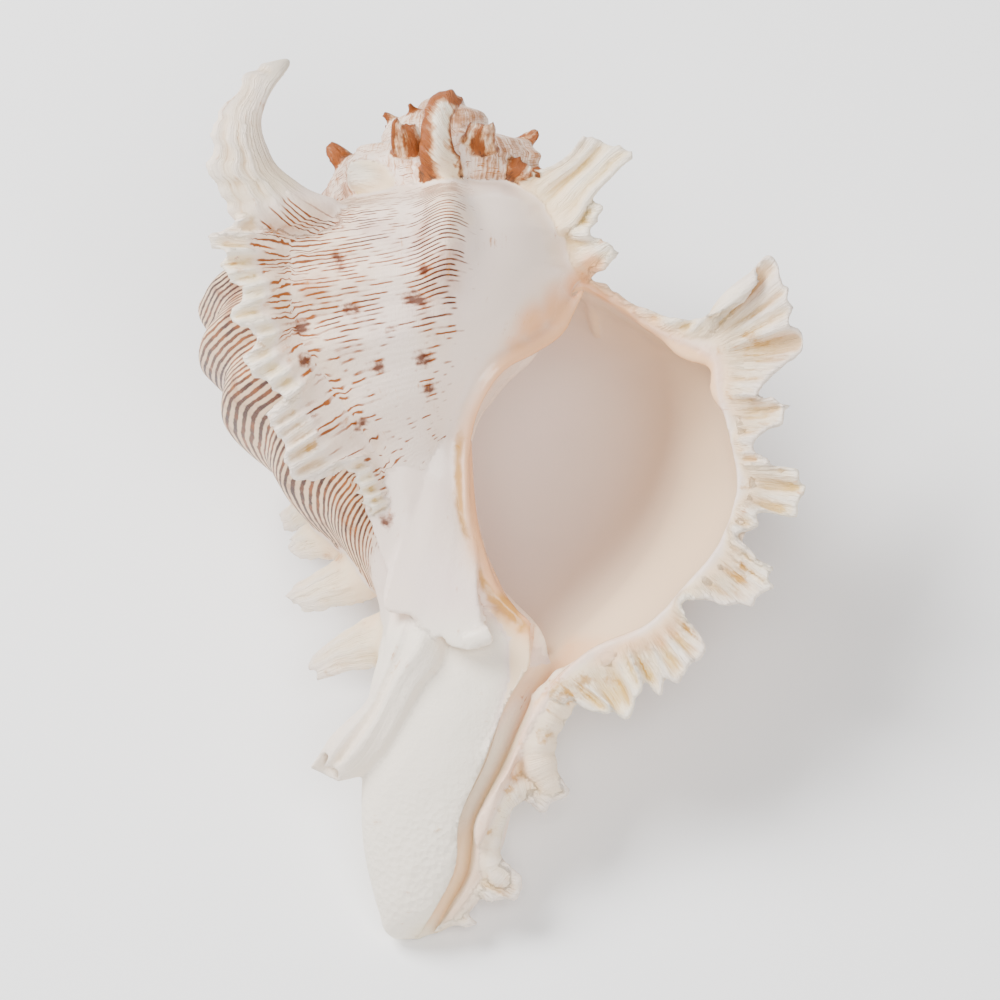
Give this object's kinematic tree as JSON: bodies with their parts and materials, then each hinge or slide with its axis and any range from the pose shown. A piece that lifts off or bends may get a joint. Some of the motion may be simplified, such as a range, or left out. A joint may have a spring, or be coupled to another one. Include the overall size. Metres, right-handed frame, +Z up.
{
  "type": "branched murex shell",
  "caption": "A pale branched murex shell lying on its back, with leafy spines, a wide open aperture and a slit canal.",
  "frame": {"origin": "On the surface that the shell lies on, under the middle of its bounding box.", "axes": "+Z is up, with the aperture facing up and towards -Y. +Y runs from the canal's tip to the spire. +X runs towards the outer lip."},
  "size_m": [0.1458, 0.2004, 0.1273],
  "materials": {
    "shell": "satin"
  },
  "bodies": {
    "root": {"shell": "shell"}
  },
  "joints": []
}
